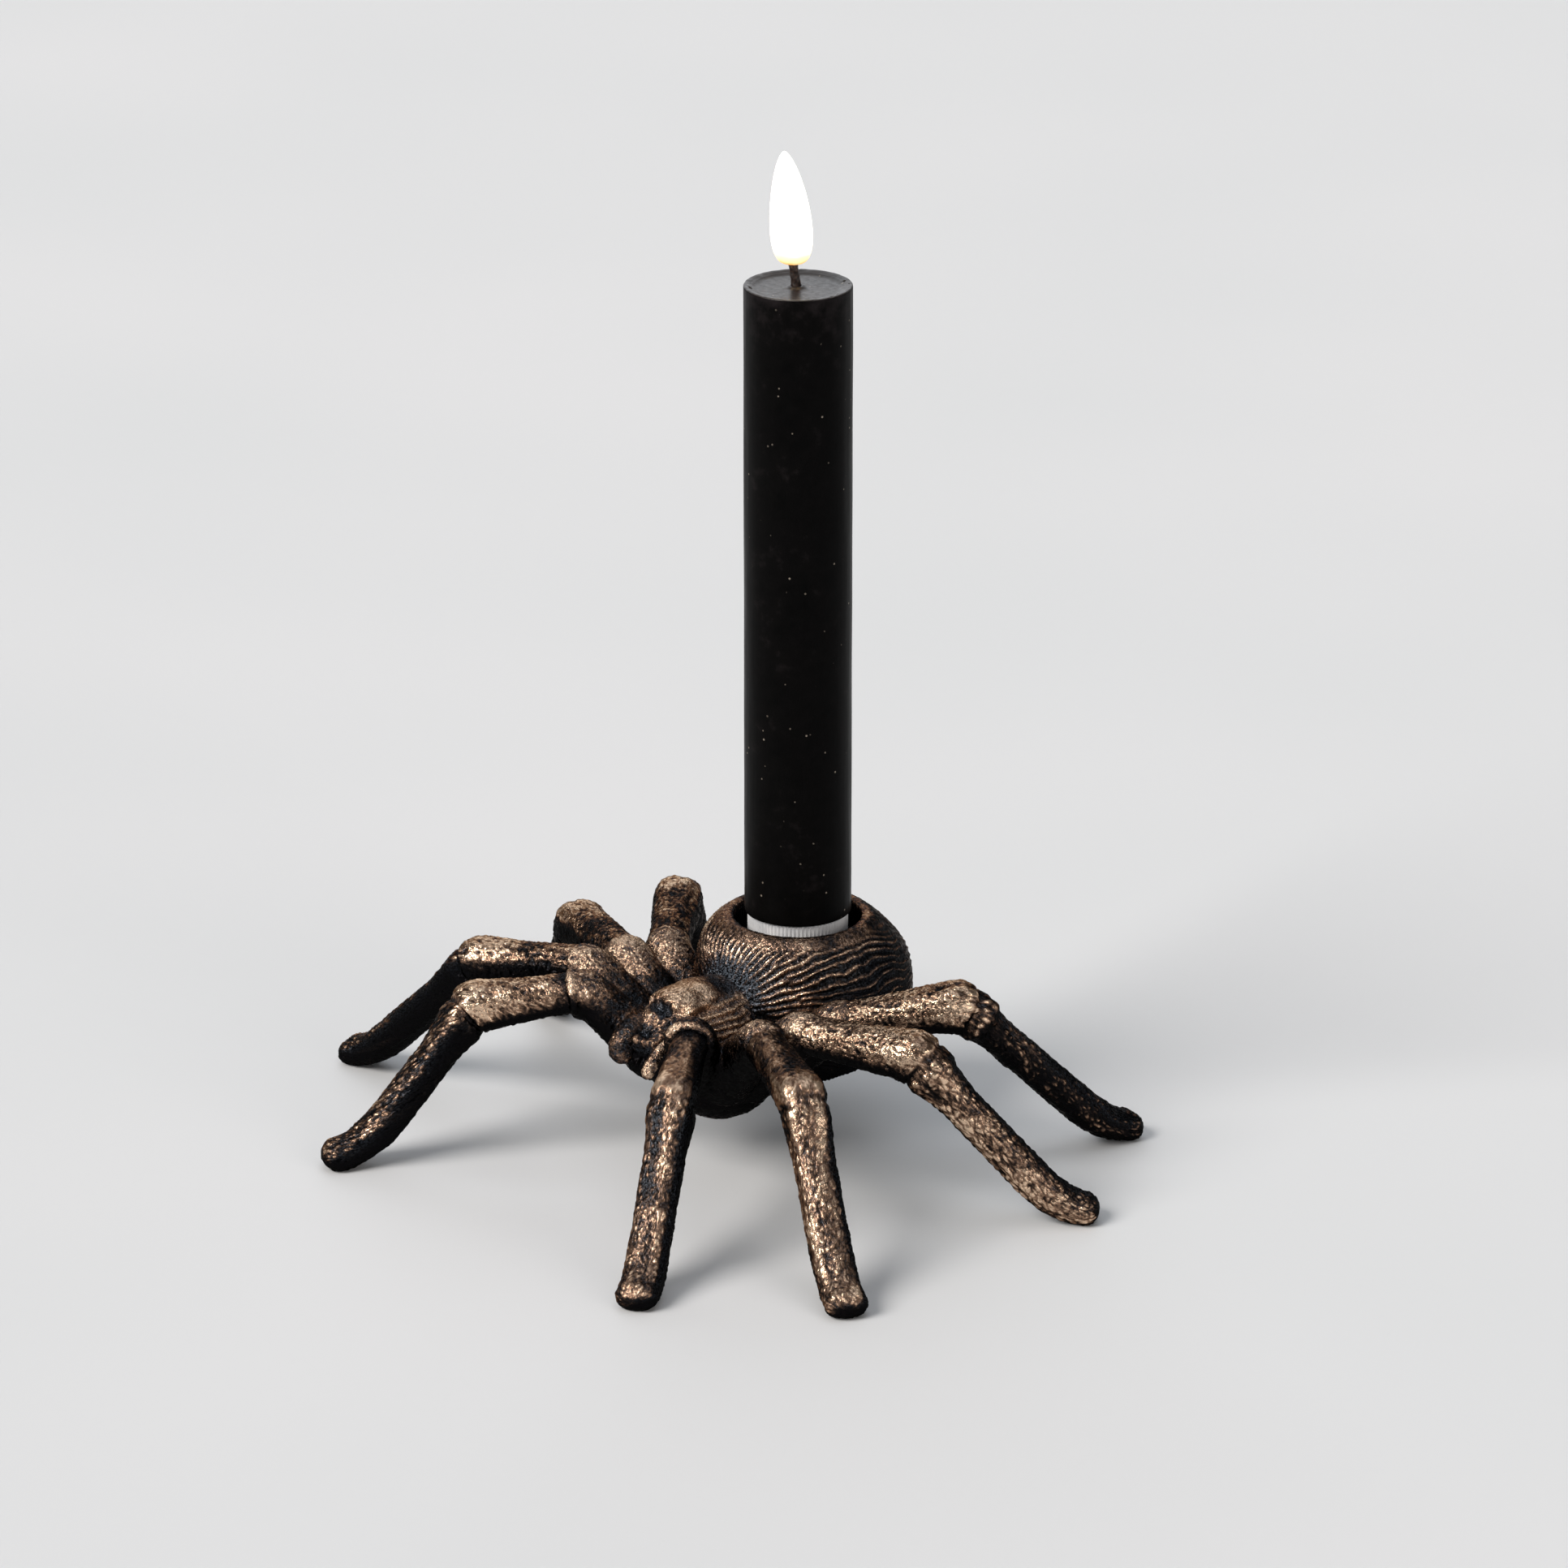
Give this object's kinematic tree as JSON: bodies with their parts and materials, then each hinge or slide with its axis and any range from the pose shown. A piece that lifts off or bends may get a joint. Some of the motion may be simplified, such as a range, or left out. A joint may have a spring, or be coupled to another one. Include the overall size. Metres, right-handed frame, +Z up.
{
  "type": "taper candle holder",
  "caption": "Cast spider candle holder in bronzed metal, its abdomen a cup for a taper; holds a battery taper that lifts out, with flame lens, twist-off foot and slide switch.",
  "frame": {"origin": "on the table, below the centre of the whole object's box", "axes": "+Z up; -Y the way the spider faces; +X its left side"},
  "size_m": [0.1714, 0.1388, 0.2077],
  "materials": {
    "bronzed_metal": "dark patina, rubbed back to copper bronze on the raised parts",
    "black_wax": "satin black wax",
    "white_abs": "moulded white ABS",
    "battery_sleeve": "plain shrink sleeve",
    "nickel_contact": "nickel-plated spring steel",
    "board_laminate": "green glass-fibre laminate",
    "black_plastic": "moulded black plastic",
    "wire_insulation": "soft insulation",
    "wick_sleeve": "waxed black sleeve",
    "led_resin": "clear warm resin",
    "flame_lens": "frosted, lit from inside"
  },
  "bodies": {
    "holder": {"abdomen_cup": "bronzed_metal", "cephalothorax": "bronzed_metal", "fang_left": "bronzed_metal", "fang_right": "bronzed_metal", "leg_left_1": "bronzed_metal", "leg_left_2": "bronzed_metal", "leg_left_3": "bronzed_metal", "leg_left_4": "bronzed_metal", "leg_right_1": "bronzed_metal", "leg_right_2": "bronzed_metal", "leg_right_3": "bronzed_metal", "leg_right_4": "bronzed_metal"},
    "candle": {"wax_shell": "black_wax", "battery_tube": "white_abs", "battery_lower": "battery_sleeve", "battery_upper": "battery_sleeve", "top_contact": "nickel_contact", "contact_strip": "nickel_contact", "circuit_board": "board_laminate", "timer_chip": "black_plastic", "lead_wire_left": "wire_insulation", "lead_wire_right": "wire_insulation", "wick_plug": "white_abs", "wick_stem": "wick_sleeve", "led": "led_resin", "flame_lens": "flame_lens"},
    "battery_cap": {"battery_cap": "white_abs", "cap_contact": "nickel_contact", "cap_spring": "nickel_contact", "switch_housing": "black_plastic"},
    "switch": {"switch_slider": "black_plastic"}
  },
  "joints": [
    {"name": "candle_lift", "type": "slide", "parent": "holder", "child": "candle", "axis": [0, 0, 1], "range_m": [0, 0.04]},
    {"name": "battery_cap_twist", "type": "hinge", "parent": "candle", "child": "battery_cap", "pos_m": [0.0029, 0.02086, 0.03], "axis": [0, 0, 1], "range_deg": [0, 40]},
    {"name": "switch_slide", "type": "slide", "parent": "battery_cap", "child": "switch", "axis": [1, 0, 0], "range_m": [0, 0.0024]}
  ]
}
